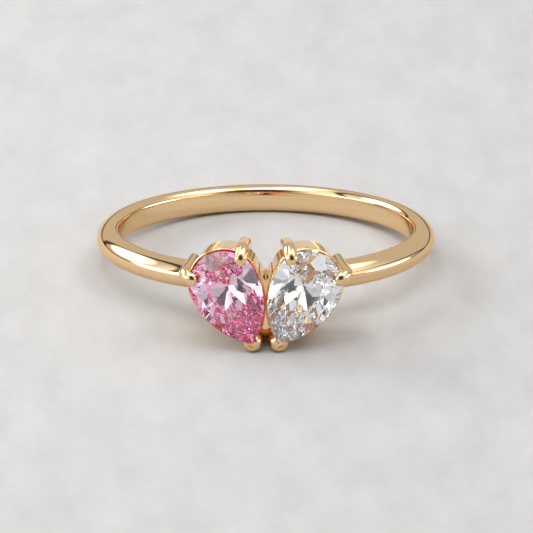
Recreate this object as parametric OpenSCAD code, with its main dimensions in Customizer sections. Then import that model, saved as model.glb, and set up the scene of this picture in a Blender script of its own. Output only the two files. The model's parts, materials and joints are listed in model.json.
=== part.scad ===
// A polished gold finger ring with two pear-cut stones set side by side as a heart.
// It is drawn standing on the finger axis: Z is the finger's axis, the stones face -Y, X runs across.
// At the end it is laid down on its side, where it rests on its two tip prongs and the back of its band.

/* [Finger hole] */
// Inside diameter of the band
finger_d = 16.9; // [16:0.05:19]

/* [Band] */
// Width of the band along the finger
band_w = 1.6; // [1.5:0.05:2]
// Thickness of the band from the finger to the top of its dome
band_t = 1.35; // [1.3:0.05:1.5]
// Rise of the dome on the outside of the band
band_dome = 0.95; // [0.6:0.05:0.95]
// Rounding of the band's two inner edges
band_edge = 0.35; // [0.2:0.05:0.35]

/* [Stones] */
// Length of a pear-cut stone from its round end to its tip
stone_l = 5.75; // [5.6:0.05:6.1]
// Width of a pear-cut stone
stone_w = 3.85; // [3.75:0.05:4.1]
// Turn of each stone that brings the two tips together, in degrees
stone_turn = 25.6; // [23:0.1:27]
// Gap between the two stones
stone_gap = 0.2; // [0.16:0.01:0.4]
// Height of the crown above the girdle
crown_h = 0.6; // [0.4:0.05:0.7]
// Thickness of the girdle, the stone's sharpest edge
girdle_t = 0.1; // [0.06:0.02:0.16]
// Depth of the pavilion below the girdle
pavilion_h = 1.65; // [1.4:0.05:1.9]
// Part of the stone's outline that its table takes
table_part = 0.56; // [0.5:0.01:0.62]

/* [Settings] */
// Distance from the finger's axis to the stones' girdles
girdle_y = 13.4; // [13.2:0.05:14]
// Height of the stones' round ends above the middle of the band
stone_lift = 1; // [0.9:0.05:1.1]
// Depth of the collet's rim behind the girdle
rim_drop = 0.4; // [0.3:0.05:0.6]
// Reach of the rim past the stone's outline
rim_out = 0.09; // [0.06:0.01:0.13]
// Thickness of the collet's wall
wall_t = 0.45; // [0.35:0.05:0.55]
// Draw-in of the collet's sides at its back
side_draw = 0.1; // [0:0.02:0.3]
// Draw-in of the collet's round end and tip at its back
end_draw = 0.7; // [0.3:0.05:0.8]
// Gap between a stone and the metal that holds it
seat_gap = 0.04; // [0.03:0.01:0.06]

/* [Prongs] */
// Angle of the two claws from the stone's long axis, round the round end's centre
claw_angle = 51; // [48:1:56]
// Width of a claw
claw_w = 0.84; // [0.7:0.02:0.96]
// Radius of the bend that brings a claw over the stone
claw_bend = 0.42; // [0.36:0.02:0.48]
// Length of a claw's straight tip after the bend
claw_tip = 0.12; // [0.08:0.02:0.24]
// Diameter of the prong at a stone's tip
vee_d = 1.14; // [1.04:0.02:1.2]
// Height of the tip prong in front of the girdle
vee_top = 0.5; // [0.4:0.02:0.6]
// Reach of the tip prong's lip over the stone's edge
vee_lip = 0.1; // [0.06:0.02:0.16]

/* [Hidden] */

finger_r = finger_d / 2;
band_r = finger_r + band_t;

// A pear outline is a half circle of radius r and two wing arcs that meet at the tip.
head_r = stone_w / 2;
tip_v = stone_l - head_r;
// The half circle runs on by this angle before the wings start
wing_start = 1.3;
// The wing arcs of a pear of radius r and tip distance b: distance of their centres, and their radius
function wing_c(r, b) = (b * b - r * r) / (2 * (r - b * sin(wing_start)));
wing_q = wing_c(head_r, tip_v);
wing_r = wing_q + head_r;
pear_x = -(stone_gap / 2 + wing_r - wing_q * cos(stone_turn - wing_start));

// Points of a pear outline, from its tip round to its tip; the tip is rounded to radius t.
function pear(r, b, t = 0.06, lift = 0, wing_n = 12, head_n = 20, tip_n = 4) =
    let (q = wing_c(r, b), big = q + r,
         cx = q * cos(wing_start), cy = q * sin(wing_start),
         ty = cy - sqrt(pow(big - t, 2) - cx * cx),
         low = atan2(ty - cy, cx),
         right = concat(
             [for (i = [0 : tip_n - 1]) let (a = -90 + (low + 90) * i / tip_n)
                 [t * cos(a), ty + t * sin(a)]],
             [for (i = [0 : wing_n - 1]) let (a = low + (-wing_start - low) * i / wing_n)
                 [-cx + big * cos(a), cy + big * sin(a)]],
             [for (i = [0 : head_n - 1]) let (a = -wing_start + (90 + wing_start) * i / head_n)
                 [r * cos(a), r * sin(a)]]),
         n = len(right))
    [for (p = concat(right, [[0, r]], [for (i = [1 : n - 1]) [-right[n - i].x, right[n - i].y]]))
        [p.x, p.y + lift]];

// The stone's own outline, moved outwards by d
function stone_outline(d, t = 0.06) = pear(head_r + d, grown_tip(d), t);
function grown_tip(d) =
    sqrt(pow(wing_r + d, 2) - pow(wing_q * cos(wing_start), 2)) - wing_q * sin(wing_start);

// A closed solid through rings of points, each ring with the same number of points.
module loft(rings) {
    n = len(rings[0]);
    m = len(rings);
    polyhedron(
        points = [for (ring = rings) each ring],
        faces = concat(
            [[for (i = [0 : n - 1]) i]],
            [[for (i = [0 : n - 1]) (m - 1) * n + n - 1 - i]],
            [for (k = [0 : m - 2], i = [0 : n - 1]) let (j = (i + 1) % n)
                each [[k * n + i, (k + 1) * n + i, (k + 1) * n + j], [k * n + i, (k + 1) * n + j, k * n + j]]]));
}
function at_height(outline, w) = [for (p = outline) [p.x, p.y, w]];
function along(a, b, f) = [for (i = [0 : len(a) - 1]) a[i] * (1 - f) + b[i] * f];

// The collets are trimmed at their backs to sit on the band's round.
trim_r = band_r - 0.3;
// They are drawn down to this height past the girdle, and their draw-in is measured at collet_d.
back_w = -6.2;
collet_d = 4.4;
draw_d = collet_d - rim_drop;

// A collet's outline at its back, past its rim by the draw-ins; its round end moves towards the tip
function collet_outline(d, t) = let (shift = side_draw - end_draw)
    pear(head_r + rim_out + d - side_draw, tip_v + rim_out + d - end_draw + shift, t, shift);

// Outside of the collet: a pear cup that draws in to its back, with a small bevel on its rim
module collet_outside() {
    bevel = 0.05;
    rim = stone_outline(rim_out, 0.3);
    loft([
        at_height(along(rim, collet_outline(0, 0.3), (-back_w - rim_drop) / draw_d), back_w),
        at_height(rim, -rim_drop - bevel),
        at_height(stone_outline(rim_out - bevel, 0.3), -rim_drop)
    ]);
}
// Hollow of the collet, open to the front for the stone and to the back for light
module collet_hollow() {
    rim = stone_outline(rim_out - wall_t, 0.1);
    loft([
        at_height(along(rim, collet_outline(-wall_t, 0.1), (-back_w - rim_drop) / draw_d), back_w - 0.1),
        at_height(rim, -rim_drop),
        at_height(rim, 0)
    ]);
}

// A claw runs up the collet's wall and bends over the stone.
// Rows along it: reach from the round end's centre, height, half width, half depth.
claw_lean = atan((side_draw + (end_draw - side_draw) * cos(claw_angle)) / draw_d);
claw_slope = sin(claw_angle) * (end_draw - side_draw) / draw_d;
claw_foot = [head_r + 0.2, 0.2];
// Turn of the claw's bend, in degrees
claw_turn = 104;
function claw_arc(a, r) = claw_foot + r * [cos(a) - cos(claw_lean), sin(a) + sin(claw_lean)];
claw_rows = let (
    half = claw_w / 2,
    down = claw_foot.y - back_w,
    end = claw_turn - claw_lean,
    last = claw_arc(end, claw_bend))
    concat(
        [[claw_foot.x - down * tan(claw_lean), back_w, half, half * 0.9]],
        [for (f = [0 : 0.125 : 1]) let (p = claw_arc(claw_turn * f - claw_lean, claw_bend))
            [p.x, p.y, half * (1 - 0.16 * f), half * (0.9 - 0.3 * f)]],
        [for (f = [30 : 20 : 90]) let (s = claw_tip * sin(f), c = 0.15 + 0.85 * cos(f))
            [last.x - s * sin(end), last.y + s * cos(end), half * 0.84 * c, half * 0.6 * c]]);
function claw_rings(sides = 14) = [for (i = [0 : len(claw_rows) - 1]) [for (k = [0 : sides - 1])
    let (p = claw_rows[i], a = 360 * k / sides,
         next = claw_rows[min(i + 1, len(claw_rows) - 1)], prior = claw_rows[max(i - 1, 0)],
         d = [next.x - prior.x, next.y - prior.y] / norm([next.x - prior.x, next.y - prior.y]))
    [p.x + d.y * p[3] * cos(a),
     p[2] * sin(a) + claw_slope * min(0, p.y - claw_foot.y),
     p.y - d.x * p[3] * cos(a)]]];
module claws() {
    for (side = [0, 1]) mirror([side, 0, 0]) rotate([0, 0, 90 - claw_angle]) loft(claw_rings());
}

// The prong at the tip: a thick round bar with a domed front, notched for the stone's tip.
// Rows along it: reach from the stone's round centre, height, radius.
vee_r = vee_d / 2;
vee_round = 0.3;
// Distance from the stone's tip to the prong's axis
vee_in = 0.05;
vee_rows = concat(
    [[vee_in - tip_v + end_draw * (-back_w) / collet_d, back_w, vee_r]],
    [for (f = [0, 30, 50, 65, 77, 86])
        [vee_in - tip_v, vee_top - vee_round * (1 - sin(f)), vee_r - vee_round * (1 - cos(f))]]);
function vee_rings(sides = 20) = [for (p = vee_rows) [for (k = [0 : sides - 1])
    let (a = 360 * k / sides) [p[2] * cos(a), p.x + p[2] * sin(a), p.y]]];
module tip_prong() {
    difference() {
        loft(vee_rings());
        translate([0, 0, girdle_t / 2]) linear_extrude(2) polygon(stone_outline(-vee_lip));
    }
}

// Points round the girdle, three to each half facet: the tip, a wing, the round end, and back again
function wing_point(f, d) = let (q = wing_q * cos(wing_start), lift = wing_q * sin(wing_start),
        low = atan2(-grown_tip(d) - lift, q), a = low + (-wing_start - low) * f)
    [(wing_r + d) * cos(a) - q, (wing_r + d) * sin(a) + lift];
function girdle_points(d, fine = 3) = let (
    wing = 4 * fine,
    side = concat(
        [for (i = [0 : wing - 1]) let (f = i / wing) wing_point(f * (1.26 - 0.26 * f), d)],
        [for (i = [0 : wing - 1]) (head_r + d) * [cos(90 * i / wing), sin(90 * i / wing)]]),
    n = len(side))
    concat(side, [[0, head_r + d]], [for (i = [n - 1 : -1 : 1]) [-side[i].x, side[i].y]]);

// One pear brilliant, grown by d on all sides: a table, 8 stars, 8 kites, 16 upper halves,
// and behind the girdle 16 lower halves and 8 mains that meet in the culet.
// Its rows of points start at: table 0, stars s, girdle's front u and back l, mains p, culet c.
module brilliant(d = 0) {
    fine = 3;
    all = 16 * fine;
    centre = [0, -0.35];
    half_g = girdle_t / 2;
    g = girdle_points(d, fine);
    function inset(i, part) = centre + (g[i % all] - centre) * part;
    function ring(start, part, z) = [for (k = [0 : 7])
        let (p = inset((2 * k + start) * fine, part)) [p.x, p.y, z]];
    table = ring(0, table_part, half_g + crown_h + d);
    stars = ring(1, 0.5 + table_part / 2 + 0.02, half_g + crown_h * 0.56 + d);
    upper = at_height(g, half_g + d * 0.4);
    lower = at_height(g, -half_g - d * 0.4);
    deep = ring(1, 0.24, -half_g - pavilion_h * 0.79 - d * 1.3);
    culet = [[centre.x, centre.y, -half_g - pavilion_h - d * 1.5]];
    s = 8;
    u = 16;
    l = u + all;
    p = l + all;
    c = p + 8;
    polyhedron(
        points = concat(table, stars, upper, lower, deep, culet),
        faces = concat(
            [[for (k = [7 : -1 : 0]) k]],
            [for (k = [0 : 7]) let (n = (k + 1) % 8, b = (k + 7) % 8, here = 2 * k * fine) each [
                [k, n, s + k],
                [k, s + k, u + here], [k, u + here, s + b],
                [c, l + here, p + k], [c, p + b, l + here]]],
            [for (i = [0 : all - 1]) let (j = (i + 1) % all, k = floor(i / (2 * fine))) each [
                [s + k, u + j, u + i],
                [u + i, u + j, l + j], [u + i, l + j, l + i],
                [p + k, l + i, l + j]]]));
}

// Places a piece of the left setting: across, along the stone and out of the ring become X, Z and -Y
module left_setting() {
    translate([pear_x, -girdle_y, stone_lift]) rotate([90, 0, 0]) rotate([0, 0, stone_turn]) children();
}
module both_settings() {
    left_setting() children();
    mirror([1, 0, 0]) left_setting() children();
}

// Half of the band's section, as points of reach and height, from the finger out to the dome
function band_half() = let (h = band_w / 2) concat(
    [for (a = [0 : 18 : 90]) [finger_r + band_edge - band_edge * cos(a), h - band_edge + band_edge * sin(a)]],
    [for (a = [90 : -10 : 10]) [band_r - band_dome + band_dome * cos(a), h * sin(a)]]);
band_section = concat(band_half(), [[band_r, 0]], [for (i = [len(band_half()) - 1 : -1 : 0])
    [band_half()[i].x, -band_half()[i].y]]);

// The band runs round the back from collet to collet; a flatter bridge joins its ends behind the stones
bridge_h = 1;
// Half of the bridge's angle round the finger's axis
bridge_half = 24;
module band() {
    rotate([0, 0, -90 + bridge_half]) rotate_extrude(angle = 360 - 2 * bridge_half, $fn = 144)
        polygon(band_section);
    rotate([0, 0, -90 - bridge_half - 1]) rotate_extrude(angle = 2 * bridge_half + 2, $fn = 144)
        translate([finger_r, -bridge_h / 2]) square([band_t * 0.85, bridge_h]);
}

// Web that joins the two collets behind their rims, higher at the front than at the back
module web() {
    front = girdle_y - rim_drop - 0.1;
    rotate([90, 0, 90]) linear_extrude(0.8, center = true)
        polygon([[-front, -1.45], [-band_r + 0.5, -1.2], [-band_r + 0.5, 0.46], [-front, 0.86]]);
}

module mounting_upright() {
    band();
    difference() {
        union() {
            web();
            both_settings() difference() {
                union() {
                    collet_outside();
                    tip_prong();
                }
                collet_hollow();
            }
            both_settings() claws();
        }
        cylinder(h = 12, r = trim_r, center = true, $fn = 144);
        both_settings() brilliant(seat_gap);
    }
}

// Laying the ring down: it turns about X until the tip prongs and the band's back are level.
// Points that can touch the surface, before it is laid down, as [Y, Z]
back_points = [for (p = band_section) [p.x, p.y]];
front_points = [for (ring = vee_rings(), p = ring)
    let (z = stone_lift + p.x * sin(stone_turn) + p.y * cos(stone_turn), y = -girdle_y - p.z)
    if (norm([pear_x + p.x * cos(stone_turn) - p.y * sin(stone_turn), y]) > trim_r) [y, z]];
function low(points, turn) = min([for (p = points) p.y * cos(turn) - p.x * sin(turn)]);
function level(least, most, steps = 24) = let (mid = (least + most) / 2)
    steps == 0 ? mid
    : low(front_points, mid) < low(back_points, mid) ? level(mid, most, steps - 1)
    : level(least, mid, steps - 1);
rest_turn = level(0, 20);
rest_z = -low(back_points, rest_turn);
front_reach = girdle_y + max([for (p = claw_rows) p.y]) + claw_w / 4;
rest_y = (front_reach - band_r) / 2 * cos(rest_turn);
module laid_down() {
    translate([0, rest_y, rest_z]) rotate([-rest_turn, 0, 0]) children();
}

module mounting() color("gold") laid_down() mounting_upright();
module pink_stone() color("pink") laid_down() left_setting() brilliant();
module clear_stone() color("white") laid_down() mirror([1, 0, 0]) left_setting() brilliant();

mounting();
pink_stone();
clear_stone();
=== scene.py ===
import json
import math

import bmesh
import bpy
from mathutils import Matrix, Vector

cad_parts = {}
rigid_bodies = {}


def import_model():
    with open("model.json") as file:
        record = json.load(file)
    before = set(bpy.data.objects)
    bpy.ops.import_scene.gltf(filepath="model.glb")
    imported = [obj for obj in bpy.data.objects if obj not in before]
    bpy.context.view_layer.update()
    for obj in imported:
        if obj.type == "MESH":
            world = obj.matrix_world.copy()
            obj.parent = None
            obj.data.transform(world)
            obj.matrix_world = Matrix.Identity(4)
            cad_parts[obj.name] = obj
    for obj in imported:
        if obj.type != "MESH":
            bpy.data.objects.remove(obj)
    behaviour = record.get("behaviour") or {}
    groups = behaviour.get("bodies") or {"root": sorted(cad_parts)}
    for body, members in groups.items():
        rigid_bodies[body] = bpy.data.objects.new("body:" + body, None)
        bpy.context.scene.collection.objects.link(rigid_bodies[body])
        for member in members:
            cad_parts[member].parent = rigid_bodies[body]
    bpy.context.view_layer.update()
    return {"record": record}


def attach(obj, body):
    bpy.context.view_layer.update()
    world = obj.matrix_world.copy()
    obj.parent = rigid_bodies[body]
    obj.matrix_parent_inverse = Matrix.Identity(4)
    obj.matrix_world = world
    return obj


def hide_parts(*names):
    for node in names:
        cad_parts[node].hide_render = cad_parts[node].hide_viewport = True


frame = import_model()

# The camera
# It looks at the stones from in front, a little above the surface that the ring lies on. The ring lies on
# two prongs and the back of its band, so its finger hole leans away from the camera.
mm = 0.001
photo_side = 533
finger_hole = frame["record"]["mounts"][0]
ring_centre = Vector(finger_hole["pos_m"])
finger_axis = Vector(finger_hole["axis"])
lean = math.atan2(finger_axis.y, finger_axis.z)

ring_centre_pixel = (265.8, 237.4)
pixels_per_mm = 17.254
camera_distance = 400 * mm
camera_height = math.radians(15.58) + lean
sensor = 36

bpy.ops.object.camera_add()
camera = bpy.context.object
camera.name = "camera"
camera.data.sensor_width = sensor
camera.data.lens = sensor * pixels_per_mm / mm * camera_distance / photo_side
camera.data.clip_start = 0.05
camera.data.clip_end = 5
camera.rotation_euler = (math.pi / 2 - camera_height, 0, 0)
camera_up = Vector((0, math.sin(camera_height), math.cos(camera_height)))
to_camera = Vector((0, -math.cos(camera_height), math.sin(camera_height)))
aim_right = (photo_side / 2 - ring_centre_pixel[0]) / pixels_per_mm * mm
aim_down = (photo_side / 2 - ring_centre_pixel[1]) / pixels_per_mm * mm
aim = Vector((aim_right, 0, 0)) - camera_up * aim_down
camera.location = ring_centre + to_camera * camera_distance + aim
bpy.context.scene.camera = camera

# The band
# A slim gold shank, domed outside and almost flat inside with rounded edges, that runs round the finger
# from collet to collet. It is drawn wire, rolled to its section, bent round and polished.
# All pieces are modelled in millimetres, upright on the finger's axis, and then laid down in metres.
finger_r = finger_hole["dims"]["r_mm"]
band_w = 1.6
# A hair thinner than the solid's, so that this rounder section stays inside its box
band_t = 1.345
band_dome = 0.95
band_edge = 0.35
# How far the inner wall draws back from the finger at its two edges
band_comfort = 0.06
band_r = finger_r + band_t
# Half of the angle round the finger's axis that the bridge takes
bridge_half = math.radians(24)
# Distance in millimetres within which a point counts as lying on a plane
near = 0.001

# The frame's own nodes come in selected
for thing in bpy.context.scene.objects:
    thing.select_set(False)


def linear(hex_colour):
    """The sRGB colour as linear red, green, blue and a full alpha."""
    parts = [int(hex_colour[i:i + 2], 16) / 255 for i in (1, 3, 5)]
    return [p / 12.92 if p <= 0.04045 else ((p + 0.055) / 1.055) ** 2.4 for p in parts] + [1]


def add_node(owner, kind, settings=()):
    """A node of that kind. A setting is a property, the value of an input or a socket linked to it."""
    node = owner.node_tree.nodes.new(kind)
    for name, value in dict(settings).items():
        if isinstance(value, bpy.types.NodeSocket):
            owner.node_tree.links.new(value, node.inputs[name])
        elif str(name) in node.bl_rna.properties:
            setattr(node, name, value)
        else:
            node.inputs[name].default_value = value
    return node


# 14 carat yellow gold, buffed to a mirror: it gives back a warm picture of all around it, and the last
# polishing leaves faint clouds where the mirror is a touch softer.
gold = bpy.data.materials.new("polished_yellow_gold")
gold.use_nodes = True
gold.node_tree.nodes.clear()
place = add_node(gold, "ShaderNodeTexCoord")
clouds = add_node(gold, "ShaderNodeTexNoise", {
    "Scale": 1 / (1.5 * mm), "Detail": 3, "Vector": place.outputs["Object"]})
softness = add_node(gold, "ShaderNodeMapRange", {
    "To Min": 0.02, "To Max": 0.05, "Value": clouds.outputs["Fac"]})
metal = add_node(gold, "ShaderNodeBsdfPrincipled", {
    "Base Color": linear("#f2d0a0"), "Metallic": 1, "Specular Tint": linear("#fff2dc"),
    "Roughness": softness.outputs["Result"]})
add_node(gold, "ShaderNodeOutputMaterial", {"Surface": metal.outputs["BSDF"]})


def laid_down(piece, name, material, replaced, smooth_angle=35):
    """Names a piece that was made upright on the finger's axis, lays it down and adds it to the ring."""
    piece.name = piece.data.name = name
    laid = Matrix.Translation(ring_centre) @ Matrix.Rotation(-lean, 4, "X") @ Matrix.Scale(mm, 4)
    piece.matrix_world = laid @ piece.matrix_world
    for thing in bpy.context.scene.objects:
        thing.select_set(thing == piece)
    bpy.context.view_layer.objects.active = piece
    bpy.ops.object.transform_apply(location=True, rotation=True, scale=True)
    bpy.ops.object.mode_set(mode="EDIT")
    bpy.ops.mesh.select_all(action="SELECT")
    bpy.ops.mesh.normals_make_consistent(inside=False)
    bpy.ops.object.mode_set(mode="OBJECT")
    if smooth_angle:
        bpy.ops.object.shade_smooth_by_angle(angle=math.radians(smooth_angle))
    piece.data.materials.clear()
    piece.data.materials.append(material)
    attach(piece, "root")
    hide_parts(replaced)
    piece.select_set(False)


def select(chosen):
    """In edit mode, selects the vertices that chosen(vertex) picks, and what lies between them."""
    bpy.ops.mesh.select_all(action="DESELECT")
    shape = bmesh.from_edit_mesh(bpy.context.object.data)
    for v in shape.verts:
        v.select = bool(chosen(v))
    shape.select_flush(True)
    bmesh.update_edit_mesh(bpy.context.object.data)


# The dome is half an ellipse, cut from a stretched circle. Its flat back is drawn in to the finger, the
# two inner corners are rounded, and the inner wall is bowed. The section is then spun round the finger.
dome_x = band_r - band_dome
bpy.ops.mesh.primitive_circle_add(vertices=72, radius=1, fill_type="NGON", rotation=(math.pi / 2, 0, 0))
band = bpy.context.object
band.scale = (band_dome, band_w / 2, 1)
band.location = (dome_x, 0, 0)
bpy.ops.object.transform_apply(location=True, rotation=True, scale=True)
bpy.ops.object.mode_set(mode="EDIT")
bpy.ops.mesh.bisect(plane_co=(dome_x, 0, 0), plane_no=(-1, 0, 0), clear_outer=True, threshold=0.00001)
select(lambda v: abs(v.co.x - dome_x) < near)
bpy.ops.mesh.extrude_region_move(TRANSFORM_OT_translate={"value": (finger_r - dome_x, 0, 0)})
bpy.ops.mesh.bevel(offset=band_edge, segments=10, affect="VERTICES")
bpy.ops.mesh.select_all(action="SELECT")
bpy.ops.mesh.dissolve_limited(angle_limit=math.radians(0.01))
select(lambda v: abs(v.co.x - finger_r) < near)
bpy.ops.mesh.subdivide(number_cuts=9)
bpy.ops.object.mode_set(mode="OBJECT")
for v in band.data.vertices:
    if v.co.x < dome_x - near:
        v.co.x += band_comfort * (2 * v.co.z / band_w) ** 2
bpy.ops.object.mode_set(mode="EDIT")
bpy.ops.mesh.select_all(action="SELECT")
bpy.ops.mesh.spin(steps=260, angle=2 * math.pi - 2 * bridge_half, center=(0, 0, 0), axis=(0, 0, 1))
bpy.ops.mesh.select_all(action="SELECT")
bpy.ops.mesh.remove_doubles(threshold=0.0001)
bpy.ops.object.mode_set(mode="OBJECT")
band.matrix_world = Matrix.Rotation(-math.pi / 2 - bridge_half, 4, "Z")
laid_down(band, "band", gold, "mounting")

# The bridge
# A flatter strip of the same gold that closes the finger hole behind the stones, where the dome would
# stand in their way. It is rolled, bent to the same round and soldered to the band's two ends.
bridge_w = 1
bridge_t = 0.85 * band_t
bridge_edge = 0.08
# How far its two ends run into the band's
bridge_lap = math.radians(1)

bpy.ops.mesh.primitive_plane_add(size=1, rotation=(math.pi / 2, 0, 0))
bridge = bpy.context.object
bridge.scale = (bridge_t, bridge_w, 1)
bridge.location = (finger_r + bridge_t / 2, 0, 0)
bpy.ops.object.transform_apply(location=True, rotation=True, scale=True)
bpy.ops.object.mode_set(mode="EDIT")
bpy.ops.mesh.select_all(action="SELECT")
bpy.ops.mesh.bevel(offset=bridge_edge, segments=4, affect="VERTICES")
bpy.ops.mesh.select_all(action="SELECT")
bpy.ops.mesh.spin(steps=48, angle=2 * (bridge_half + bridge_lap), center=(0, 0, 0), axis=(0, 0, 1))
bpy.ops.object.mode_set(mode="OBJECT")
bridge.matrix_world = Matrix.Rotation(-math.pi / 2 + bridge_half + bridge_lap, 4, "Z")
laid_down(bridge, "bridge", gold, "mounting")

# The stones
# Two pear brilliants, one pink and one colourless, that stand side by side with their tips together.
# Each is sawn to the pear outline, and its facets are then ground flat one by one, in front and behind.
head_r = 1.91
head_flat = 0.98
tip_reach = 3.88
stone_turn = math.radians(25.65)
stone_gap = 0.2
stone_lift = 1
girdle_reach = 13.4
stone_tip = 0.06

# A pear outline is a half circle, run on a little at both ends, and two wing arcs that meet at the tip.
wing_start = math.radians(-6.4)
wing_centre = (tip_reach ** 2 - head_r ** 2) / (2 * (head_r - tip_reach * math.sin(wing_start)))
wing_r = wing_centre + head_r
pear_x = -(stone_gap / 2 + wing_r - wing_centre * math.cos(stone_turn - wing_start))
left_place = (
    Matrix.Translation((pear_x, -girdle_reach, stone_lift))
    @ Matrix.Rotation(math.pi / 2, 4, "X") @ Matrix.Rotation(stone_turn, 4, "Z"))
right_place = Matrix.Scale(-1, 4, (1, 0, 0)) @ left_place


def pear(r, tip, tip_round, w, shift=0, wing_n=22, head_n=30, tip_n=6):
    """Points of a pear outline at height w, with a round end of radius r and its tip that far off."""
    q = (tip ** 2 - r ** 2) / (2 * (r - tip * math.sin(wing_start)))
    big = q + r
    cx, cy = q * math.cos(wing_start), q * math.sin(wing_start)
    tip_y = cy - math.sqrt((big - tip_round) ** 2 - cx ** 2)
    low = math.atan2(tip_y - cy, cx)
    side = []
    for i in range(tip_n):
        a = -math.pi / 2 + (low + math.pi / 2) * i / tip_n
        side.append((tip_round * math.cos(a), tip_y + tip_round * math.sin(a)))
    for i in range(wing_n):
        a = low + (-wing_start - low) * i / wing_n
        side.append((-cx + big * math.cos(a), cy + big * math.sin(a)))
    for i in range(head_n):
        a = -wing_start + (math.pi / 2 + wing_start) * i / head_n
        side.append((r * math.cos(a), r * head_flat * math.sin(a)))
    whole = side + [(0, r * head_flat)] + [(-x, y) for x, y in reversed(side[1:])]
    return [Vector((x, y + shift, w)) for x, y in whole]


def grown_tip(grow):
    """How far the tip of the stone's outline is from its round end's centre, grown that much."""
    across, along = wing_centre * math.cos(wing_start), wing_centre * math.sin(wing_start)
    return math.sqrt((wing_r + grow) ** 2 - across ** 2) - along


def stone_outline(grow, w):
    """Points of the stone's own outline at height w, grown that much on all sides."""
    return pear(head_r + grow, grown_tip(grow), stone_tip, w)


def lofted(rings, joined=False):
    """A new piece through loops of points, closed flat at its two ends or joined end to end."""
    bpy.ops.mesh.primitive_circle_add(vertices=len(rings[0]), radius=1)
    piece = bpy.context.object
    bpy.ops.object.mode_set(mode="EDIT")
    shape = bmesh.from_edit_mesh(piece.data)
    loops = []
    for points in rings:
        if loops:
            bpy.ops.mesh.primitive_circle_add(vertices=len(points), radius=1)
        shape.verts.index_update()
        ring = [v for v in shape.verts if v.select]
        for v, point in zip(ring, points):
            v.co = point
        loops.append({v.index for v in ring})
    pairs = list(zip(loops, loops[1:])) + ([(loops[-1], loops[0])] if joined else [])
    for first, second in pairs:
        select(lambda v: v.index in first or v.index in second)
        bpy.ops.mesh.bridge_edge_loops()
    for loop in ([] if joined else [loops[0], loops[-1]]):
        select(lambda v: v.index in loop)
        bpy.ops.mesh.edge_face_add()
    bpy.ops.mesh.select_all(action="SELECT")
    bpy.ops.mesh.normals_make_consistent(inside=False)
    bpy.ops.object.mode_set(mode="OBJECT")
    return piece


girdle_t = 0.1
crown_h = 0.58
pavilion_h = 1.66
culet = Vector((0.145, -0.32))
# How steep the facets in front are, the least that those behind are towards the tip, and how much
# steeper than its main facet a half facet behind is
main_slope = math.radians(34)
star_slope = math.radians(21)
upper_slope = math.radians(37)
keel_slope = math.radians(38.5)
lower_steeper = math.radians(1.6)
# The azimuths of the main facets, in degrees, from the round end at 90 down to the tip at -90
crown_mains = (90, 45, 0, -36, -90)
back_mains = (90, 56, 24, -2, -16, -28, -39, -50)
# The two halves beside a main facet, as parts of the way to the next one
halves = (0.25, 0.75)
edge_points = stone_outline(0, 0)


def farthest(azimuth):
    """The point of the stone's outline that is farthest out at that azimuth."""
    towards_edge = Vector((math.cos(azimuth), math.sin(azimuth)))
    return max((p.to_2d() for p in edge_points), key=lambda p: p @ towards_edge)


def grind(azimuth, slope, spot, w):
    """Grinds one facet, at that azimuth and slope, through a spot at height w."""
    normal = Vector((math.cos(azimuth) * math.sin(slope), math.sin(azimuth) * math.sin(slope),
                     math.copysign(math.cos(slope), w)))
    bpy.ops.mesh.select_all(action="SELECT")
    bpy.ops.mesh.bisect(
        plane_co=(spot.x, spot.y, w), plane_no=normal, use_fill=True, clear_outer=True,
        threshold=0.00001)


front, back = girdle_t / 2, -girdle_t / 2
table_w, culet_w = front + crown_h, back - pavilion_h
stone = lofted([stone_outline(0, culet_w), stone_outline(0, table_w)])
bpy.ops.object.mode_set(mode="EDIT")
for side in (1, -1):
    crown = [math.radians(a if side == 1 else 180 - a) for a in crown_mains]
    tops = []
    for azimuth in crown:
        grind(azimuth, main_slope, farthest(azimuth), front)
        inwards = Vector((-math.cos(azimuth), -math.sin(azimuth))) * crown_h / math.tan(main_slope)
        tops.append(farthest(azimuth) + inwards)
    for one, other, azimuth, beside in zip(tops, tops[1:], crown, crown[1:]):
        chord = (other - one) * side
        grind(math.atan2(chord.x, -chord.y), star_slope, one, table_w)
        for part in halves:
            between = azimuth + (beside - azimuth) * part
            grind(between, upper_slope, farthest(between), front)
    pavilion = [math.radians(a if side == 1 else 180 - a) for a in back_mains]
    slopes = []
    for azimuth in pavilion:
        run = (farthest(azimuth) - culet) @ Vector((math.cos(azimuth), math.sin(azimuth)))
        slopes.append(max(math.atan(pavilion_h / run), keel_slope if math.sin(azimuth) < 0 else 0))
        grind(azimuth, slopes[-1], farthest(azimuth), back)
    for azimuth, beside, slope, next_slope in zip(pavilion, pavilion[1:], slopes, slopes[1:]):
        for part in halves:
            between = azimuth + (beside - azimuth) * part
            steep = slope + (next_slope - slope) * part + lower_steeper
            grind(between, steep, farthest(between), back)
bpy.ops.object.mode_set(mode="OBJECT")

# The same shape, a touch larger about its middle, cuts the seats into the metal that holds the stone
seat_size = 1.012
stone_middle = Matrix.Translation((0, -1, 0))
seat = stone.copy()
seat.data = stone.data.copy()
bpy.context.collection.objects.link(seat)
seat.data.transform(stone_middle @ Matrix.Scale(seat_size, 4) @ stone_middle.inverted())

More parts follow.
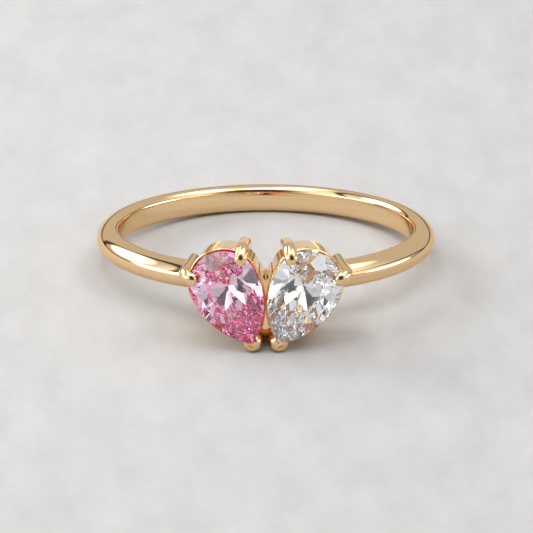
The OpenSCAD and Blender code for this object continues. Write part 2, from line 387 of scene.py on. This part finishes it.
# A pink sapphire and a diamond, clear and hard, polished on every facet. Both have the diamond's IOR, as
# they sparkle alike. Light that comes in through the front is thrown back by the facets behind, so none of
# the gold behind the stone shows through it. The pink one also takes green and blue out of the light, more
# of them the longer its way through the stone.
crystals = {}
for name, tint, density in (
        ("polished_diamond", "#ffffff", 0), ("polished_pink_sapphire", "#ff9ed6", 0.086)):
    crystals[name] = []
    for part in ("", "_pavilion"):
        crystal = bpy.data.materials.new(name + part)
        crystal.use_nodes = True
        crystal.node_tree.nodes.clear()
        surface = add_node(crystal, "ShaderNodeBsdfPrincipled", {
            "Base Color": linear("#f6fbff"), "Roughness": 0, "IOR": 2.42,
            "Specular Tint": (0.45, 0.45, 0.45, 1), "Transmission Weight": 1}).outputs["BSDF"]
        if part:
            thrown_back = add_node(crystal, "ShaderNodeBsdfAnisotropic", {
                "Color": linear("#ffffff"), "Roughness": 0})
            inside = add_node(crystal, "ShaderNodeNewGeometry")
            surface = add_node(crystal, "ShaderNodeMixShader", {
                "Fac": inside.outputs["Backfacing"], 1: surface,
                2: thrown_back.outputs["BSDF"]}).outputs["Shader"]
        body = add_node(crystal, "ShaderNodeVolumeAbsorption", {
            "Color": linear(tint), "Density": density / mm})
        add_node(crystal, "ShaderNodeOutputMaterial", {
            "Surface": surface, "Volume": body.outputs["Volume"]})
        crystals[name].append(crystal)

twin = stone.copy()
twin.data = stone.data.copy()
bpy.context.collection.objects.link(twin)
stone.matrix_world = left_place
twin.matrix_world = right_place
# Facets that look forwards less than this are the girdle's and those behind it
girdle_look = 0.1
for cut, name, slot, crystal in (
        (stone, "pink_pear", "pink_stone", "polished_pink_sapphire"),
        (twin, "clear_pear", "clear_stone", "polished_diamond")):
    crown_part, pavilion_part = crystals[crystal]
    laid_down(cut, name, crown_part, slot, 0)
    cut.data.materials.append(pavilion_part)
    for face in cut.data.polygons:
        face.material_index = 1 if -face.normal.y < girdle_look else 0

# The collets
# Two pear-shaped cups that draw in a little towards the band, with a round lip about the stone. Each is
# a strip of gold bent to the stone's outline and soldered, sat on the band's round and open behind.
rim_drop = 0.4
rim_out = 0.09
wall_t = 0.45
side_draw = 0.1
end_draw = 0.7
collet_d = 4.4
collet_back = -6.2
trim_r = band_r - 0.3


def collet_outline(grow, w, tip_round):
    """The collet's outline at height w, between the stone's outline at the rim and its drawn-in back."""
    part = (-rim_drop - w) / (collet_d - rim_drop)
    grow += rim_out
    rim = pear(head_r + grow, grown_tip(grow), tip_round, w)
    shift = side_draw - end_draw
    back_tip = tip_reach + grow - end_draw + shift
    back = pear(head_r + grow - side_draw, back_tip, tip_round, w, shift)
    return [a.lerp(b, part) for a, b in zip(rim, back)]


def cut_away(piece, tool, keep_tool=False):
    """Cuts the tool's shape out of the piece, and the tool goes unless it is kept."""
    for thing in bpy.context.scene.objects:
        thing.select_set(thing == piece)
    bpy.context.view_layer.objects.active = piece
    cut = piece.modifiers.new("cut", "BOOLEAN")
    cut.operation = "DIFFERENCE"
    cut.solver = "EXACT"
    cut.object = tool
    bpy.ops.object.modifier_apply(modifier=cut.name)
    if not keep_tool:
        bpy.data.objects.remove(tool)


def pair(piece, part, smooth_angle=35):
    """Sets a gold piece made on the left stone's own axes on both sides, mirrored on the right."""
    twin = piece.copy()
    twin.data = piece.data.copy()
    bpy.context.collection.objects.link(twin)
    for side, place, which in ((piece, left_place, "left_"), (twin, right_place, "right_")):
        side.matrix_world = place
        laid_down(side, which + part, gold, "mounting", smooth_angle)


def seated(piece):
    """Trims a piece made on the left stone's own axes to the band's round, and cuts the seat into it."""
    bpy.ops.mesh.primitive_cylinder_add(vertices=256, radius=trim_r, depth=16)
    band_round = bpy.context.object
    band_round.matrix_world = left_place.inverted() @ band_round.matrix_world
    cut_away(piece, band_round)
    cut_away(piece, seat, keep_tool=True)


# The lip is part of an oval in section. Its half width and half height, its middle's distance from the
# wall's outside and from the girdle, and where it starts and ends round its middle, in degrees
lip_w = 0.07
lip_h = 0.19
lip_out = -0.05
lip_middle = -0.34
lip_start = -60
lip_end = 150
lip_steps = 10
groove_d = 0.07
# How far behind the lip's middle the straight inside of the cup starts
inner_drop = 0.1
# The rounding of the cup's tip outside, at the lip and inside
outer_tip = 0.3
lip_tip = 0.25
inner_tip = 0.15

# From the back of the wall's outside to its front, through a fine groove and over the lip to the inside
wall = [
    collet_outline(0, collet_back, outer_tip),
    collet_outline(0, lip_middle - lip_h - groove_d, outer_tip),
    collet_outline(-groove_d, lip_middle - lip_h, outer_tip)]
for i in range(lip_steps + 1):
    a = math.radians(lip_start + (lip_end - lip_start) * i / lip_steps)
    wall.append(collet_outline(
        lip_out + lip_w * math.cos(a), lip_middle + lip_h * math.sin(a), lip_tip))
wall.append(collet_outline(-wall_t, lip_middle - inner_drop, inner_tip))
wall.append(collet_outline(-wall_t, collet_back, inner_tip))
collet = lofted(wall, joined=True)
seated(collet)
pair(collet, "collet")

# The web
# A bar that joins the two collets behind their rims, with a V filed into its top between the two round
# ends and a rounded foot, so that the two stones stand as one. It is soldered between the collets.
web_front = girdle_reach - rim_drop - 0.06
web_back = band_r - 0.5
# Half of its outline in front and behind, as distance from the middle and height, from the V to the foot
front_half = [
    (0.04, 1.04), (0.34, 1.5), (0.46, -0.6), (0.2, -1.62), (0.19, -1.68), (0.16, -1.74), (0.1, -1.79)]
back_half = [
    (0.04, 0.69), (0.3, 1.15), (0.6, -0.6), (0.6, -0.9), (0.4, -1.15), (0.3, -1.15), (0.1, -1.15)]
sections = []
for reach, half, foot in ((web_front, front_half, -1.81), (web_back, back_half, -1.15)):
    whole = half + [(0, foot)] + [(-x, z) for x, z in reversed(half)]
    sections.append([Vector((x, -reach, z)) for x, z in whole])
web = lofted(sections)
laid_down(web, "web", gold, "mounting")

# Its foot runs on down between the two tips, set back and hollowed to a groove. Distance from the
# middle, reach from the finger's axis, and the heights of its top and bottom.
foot_half = (
    (0.28, 12.45, -1.2, -2.8), (0.5, 12.85, -1.2, -2.8), (0.55, 12, -1.2, -2.6),
    (0.6, web_back, -0.9, -1.3))
whole = [(0, 12.1, -1.2, -2.66), *foot_half, (0, web_back, -0.9, -1.3)]
whole += [(-x, reach, top, bottom) for x, reach, top, bottom in reversed(foot_half)]
web_foot = lofted([
    [Vector((x, -reach, top)) for x, reach, top, _ in whole],
    [Vector((x, -reach, bottom)) for x, reach, _, bottom in whole]])
laid_down(web_foot, "web_foot", gold, "mounting")

# The claws
# Two round wires up the outside of each collet's round end, bent over the stone's edge in a long curve
# and filed to an egg-shaped tip that is pressed down on the crown.
claw_w = 0.78
# The wire's depth as a part of its width, at its back and at the bend, what the bend takes off its depth
# and off its width, and what is left at its blunt end
claw_back_deep = 0.9
claw_deep = 0.95
claw_thinner = 0.38
claw_narrower = 0.1
claw_blunt = 0.04
# Radius of the bend where it starts and where it ends, and how far it turns
claw_bend = 1
claw_end_bend = 0.25
claw_turn = math.radians(100)
claw_sides = 28
claw_steps = 30
tip_steps = 10
claw_egg = 0.24
claw_lean = math.radians(8)
# Where the bend starts, as reach from the round end's centre and height
claw_foot = Vector((head_r + 0.28, -0.38))

# Each claw's angle from the middle of the round end, the height of its back, the size of its bend, and how
# far its shaft and its tip stray sideways for every millimetre of their length
for which, claw_angle, claw_back, bend_part, shaft_stray, tip_stray in (
        ("inner", 55, collet_back, 1, 0.13, 0.2), ("outer", 51, -3.7, 0.92, 0.02, 0.2)):
    # Reach, height, half width and half depth of the wire, up its shaft, round its bend and over its tip
    reach, height = claw_foot
    shaft = (height - claw_back) * math.tan(claw_lean)
    rows = [(reach - shaft, claw_back, claw_w / 2, claw_w / 2 * claw_back_deep)]
    for i in range(claw_steps + 1):
        part = i / claw_steps
        a = claw_turn * part - claw_lean
        half_w = claw_w / 2 * (1 - claw_narrower * part ** 2)
        half_d = claw_w / 2 * (claw_deep - claw_thinner * part)
        rows.append((reach, height, half_w, half_d))
        step = bend_part * (claw_bend + (claw_end_bend - claw_bend) * part) * claw_turn / claw_steps
        reach -= step * math.sin(a)
        height += step * math.cos(a)
    reach, height, half_w, half_d = rows[-1]
    for i in range(1, tip_steps + 1):
        b = math.pi / 2 * i / tip_steps
        small = claw_blunt + (1 - claw_blunt) * math.cos(b)
        out = claw_egg * bend_part * math.sin(b)
        rows.append((
            reach - out * math.sin(a), height + out * math.cos(a), half_w * small, half_d * small))
    claw_rings = []
    for i, (reach, height, half_w, half_d) in enumerate(rows):
        after, before = rows[min(i + 1, len(rows) - 1)], rows[max(i - 1, 0)]
        way = Vector((after[0] - before[0], after[1] - before[1])).normalized()
        stray = shaft_stray * min(0, height - claw_foot.y)
        if height > claw_foot.y:
            stray -= tip_stray * max(0, claw_foot.x - reach)
        ring = []
        for k in range(claw_sides):
            a = 2 * math.pi * k / claw_sides
            ring.append(Vector((
                reach + way.y * half_d * math.cos(a), half_w * math.sin(a) + stray,
                height - way.x * half_d * math.cos(a))))
        claw_rings.append(ring)
    claw = lofted(claw_rings)
    claw.data.transform(Matrix.Rotation(math.radians(90 - claw_angle), 4, "Z"))
    if which == "outer":
        claw.data.transform(Matrix.Scale(-1, 4, (1, 0, 0)))
    seated(claw)
    pair(claw, which + "_claw", 60)

# The tip prongs
# A thick round bar of gold at each stone's tip, cast with the collet, domed in front and notched so that
# its lip covers the tip. The ring rests on these two when it is laid down.
prong_r = 0.56
prong_top = 0.5
prong_round = 0.42
# How far its lip reaches over the stone's edge
prong_lip = 0.06
prong_sides = 56
dome_steps = 8
# Place of its middle along the stone, a little short of the stone's tip
prong_y = 0.115 - tip_reach

# Place along the stone, height and radius of the bar, from its back to the top of its dome
rows = [(prong_y + end_draw * -collet_back / collet_d, collet_back, prong_r)]
for i in range(dome_steps + 1):
    a = math.pi / 2 * i / dome_steps
    rows.append((
        prong_y, prong_top - prong_round * (1 - math.sin(a)), prong_r - prong_round * (1 - math.cos(a))))
turns = [2 * math.pi * k / prong_sides for k in range(prong_sides)]
prong = lofted([
    [Vector((r * math.cos(a), y + r * math.sin(a), w)) for a in turns] for y, w, r in rows])
seated(prong)
notch = lofted([stone_outline(-prong_lip, -0.2), stone_outline(-prong_lip, 2)])
cut_away(prong, notch)

# A thin saw cut under the left prong's tip, made upright on the finger's axis
slot_size = (0.34, 0.6, 0.07)
slot_slant = math.radians(21)
slot_spot = (-0.86, -13.9, -2.53)
bpy.ops.mesh.primitive_cube_add(size=1)
slot = bpy.context.object
slot.scale = slot_size
slot.rotation_euler.y = slot_slant
slot.location = slot_spot
bpy.ops.object.transform_apply(location=True, rotation=True, scale=True)
slot.data.transform(left_place.inverted())
cut_away(prong, slot)
pair(prong, "tip_prong")
bpy.data.objects.remove(seat)

# The surface and the light
# The ring lies on a pale, faintly mottled plaster sheet in a white light tent. A softbox behind it on the
# left is the key, with one overhead and a panel and a low strip at each side. The dark hole for the lens,
# the tent's dark foot and two dark rings draw thin dark lines between the gold's white streaks.
bpy.ops.mesh.primitive_plane_add(size=1.2)
floor = bpy.context.object
floor.name = "floor"

# Trowelled plaster, matt and slightly rough. It gives the eye faint pale patches, longer from front to
# back, and a fine grain.
stroke = 0.4
patch_size = 2.5 * mm
grain_size = 0.5 * mm
plaster = bpy.data.materials.new("pale_plaster")
plaster.use_nodes = True
plaster.node_tree.nodes.clear()
place = add_node(plaster, "ShaderNodeTexCoord")
swept = add_node(plaster, "ShaderNodeMapping", {
    "Scale": (1, stroke, 1), "Vector": place.outputs["Object"]})
patches = add_node(plaster, "ShaderNodeTexNoise", {
    "Scale": 1 / patch_size, "Detail": 6, "Roughness": 0.65, "Vector": swept.outputs["Vector"]})
shade = add_node(plaster, "ShaderNodeValToRGB", {"Fac": patches.outputs["Fac"]})
shade.color_ramp.elements[0].position = 0.3
shade.color_ramp.elements[0].color = linear("#b0aeac")
shade.color_ramp.elements[1].position = 0.7
shade.color_ramp.elements[1].color = linear("#bcbab8")
grain = add_node(plaster, "ShaderNodeTexNoise", {
    "Scale": 1 / grain_size, "Detail": 4, "Vector": swept.outputs["Vector"]})
tooth = add_node(plaster, "ShaderNodeBump", {
    "Strength": 0.25, "Distance": 0.05 * mm, "Height": grain.outputs["Fac"]})
matt = add_node(plaster, "ShaderNodeBsdfPrincipled", {
    "Roughness": 0.85, "Base Color": shade.outputs["Color"], "Normal": tooth.outputs["Normal"]})
add_node(plaster, "ShaderNodeOutputMaterial", {"Surface": matt.outputs["BSDF"]})
floor.data.materials.append(plaster)

room = bpy.data.worlds.new("light_tent")
bpy.context.scene.world = room
room.use_nodes = True
room.node_tree.nodes.clear()


def towards(azimuth, height):
    """The direction at that height and azimuth, from straight behind the ring to the right, in degrees."""
    azimuth, height = math.radians(azimuth), math.radians(height)
    level = math.cos(height)
    return Vector((math.sin(azimuth) * level, math.cos(azimuth) * level, math.sin(height)))


# The tent is brighter towards the front, and almost black where the lens looks in
way = add_node(room, "ShaderNodeTexCoord").outputs["Generated"]
parts = add_node(room, "ShaderNodeSeparateXYZ", {"Vector": way})
light = add_node(room, "ShaderNodeMapRange", {
    "interpolation_type": "SMOOTHSTEP", "From Min": -0.5, "From Max": 0.4, "To Min": 1.5, "To Max": 0.66,
    "Value": parts.outputs["Y"]}).outputs["Result"]
lens = add_node(room, "ShaderNodeVectorMath", {
    "operation": "DOT_PRODUCT", 0: way, 1: towards(174, 22)})
lens_hole = add_node(room, "ShaderNodeMapRange", {
    "interpolation_type": "SMOOTHSTEP", "From Min": math.cos(math.radians(46)),
    "From Max": math.cos(math.radians(14)), "To Min": 1, "To Max": 0.04, "Value": lens.outputs["Value"]})
# The dark foot of its walls
foot = add_node(room, "ShaderNodeMapRange", {
    "interpolation_type": "SMOOTHSTEP", "From Max": 0.1, "To Min": 0.1, "To Max": 1,
    "Value": parts.outputs["Z"]})
shadows = [lens_hole, foot]
# The dark rings by their middles and radii: one is the key's frame, and the other, with its middle under
# the floor on the right, is a seam of the tent
for middle, radius in ((towards(-71.2, 18.4), 37.5), (towards(102, -44), 68.1)):
    nearness = add_node(room, "ShaderNodeVectorMath", {"operation": "DOT_PRODUCT", 0: way, 1: middle})
    off_ring = add_node(room, "ShaderNodeMath", {
        "operation": "SUBTRACT", 0: nearness.outputs["Value"], 1: math.cos(math.radians(radius))})
    off_ring = add_node(room, "ShaderNodeMath", {"operation": "ABSOLUTE", 0: off_ring.outputs["Value"]})
    shadows.append(add_node(room, "ShaderNodeMapRange", {
        "interpolation_type": "SMOOTHSTEP", "From Min": 0.012, "From Max": 0.055, "To Min": 0.1,
        "To Max": 1, "Value": off_ring.outputs["Value"]}))
for shadow in shadows:
    light = add_node(room, "ShaderNodeMath", {
        "operation": "MULTIPLY", 0: light, 1: shadow.outputs["Result"]}).outputs["Value"]
tent = add_node(room, "ShaderNodeBackground", {"Color": linear("#fafafc"), "Strength": light})
add_node(room, "ShaderNodeOutputWorld", {"Surface": tent.outputs["Background"]})

# Each softbox by its azimuth from straight behind the ring, its height, its width and tallness in
# degrees as the ring sees it, its brightness and its distance in millimetres. It fades out at its edges.
for name, azimuth, height, wide, tall, bright, far in (
        ("key", -60, 27, 52, 40, 6.8, 250),
        ("left_panel", -88, 76, 76, 26, 2, 110),
        ("left_strip", -106, 8, 60, 24, 4, 110),
        ("overhead", 196, 70, 50, 32, 2.2, 250),
        ("right_panel", 96, 60, 66, 36, 2.2, 450),
        ("right_strip", 88, 4, 50, 18, 6, 450)):
    bpy.ops.object.light_add(type="AREA", location=ring_centre + towards(azimuth, height) * far * mm)
    lamp = bpy.context.object
    lamp.name = name
    lamp.data.shape = "RECTANGLE"
    lamp.data.size, lamp.data.size_y = (
        2 * far * mm * math.tan(math.radians(across) / 2) for across in (wide, tall))
    lamp.data.energy = bright * math.pi * lamp.data.size * lamp.data.size_y
    lamp.rotation_euler = (-towards(azimuth, height)).to_track_quat("-Z", "Y").to_euler()
    lamp.visible_camera = False
    lamp.data.use_nodes = True
    lamp.data.node_tree.nodes.clear()
    spot = add_node(lamp.data, "ShaderNodeTexCoord")
    centred = add_node(lamp.data, "ShaderNodeMapping", {
        "Location": (-1, -1, 0), "Scale": (2, 2, 0), "Vector": spot.outputs["UV"]})
    edge = add_node(lamp.data, "ShaderNodeVectorMath", {
        "operation": "LENGTH", 0: centred.outputs["Vector"]})
    fade = add_node(lamp.data, "ShaderNodeMapRange", {
        "interpolation_type": "SMOOTHSTEP", "From Min": 1, "From Max": 0.4,
        "Value": edge.outputs["Value"]})
    glow = add_node(lamp.data, "ShaderNodeEmission", {"Strength": fade.outputs["Result"]})
    add_node(lamp.data, "ShaderNodeOutputLight", {"Surface": glow.outputs["Emission"]})

bpy.context.scene.view_settings.view_transform = "Standard"

# Light bounces many times inside a cut stone before it comes out again
paths = bpy.context.scene.cycles
paths.max_bounces = paths.glossy_bounces = paths.transmission_bounces = 32
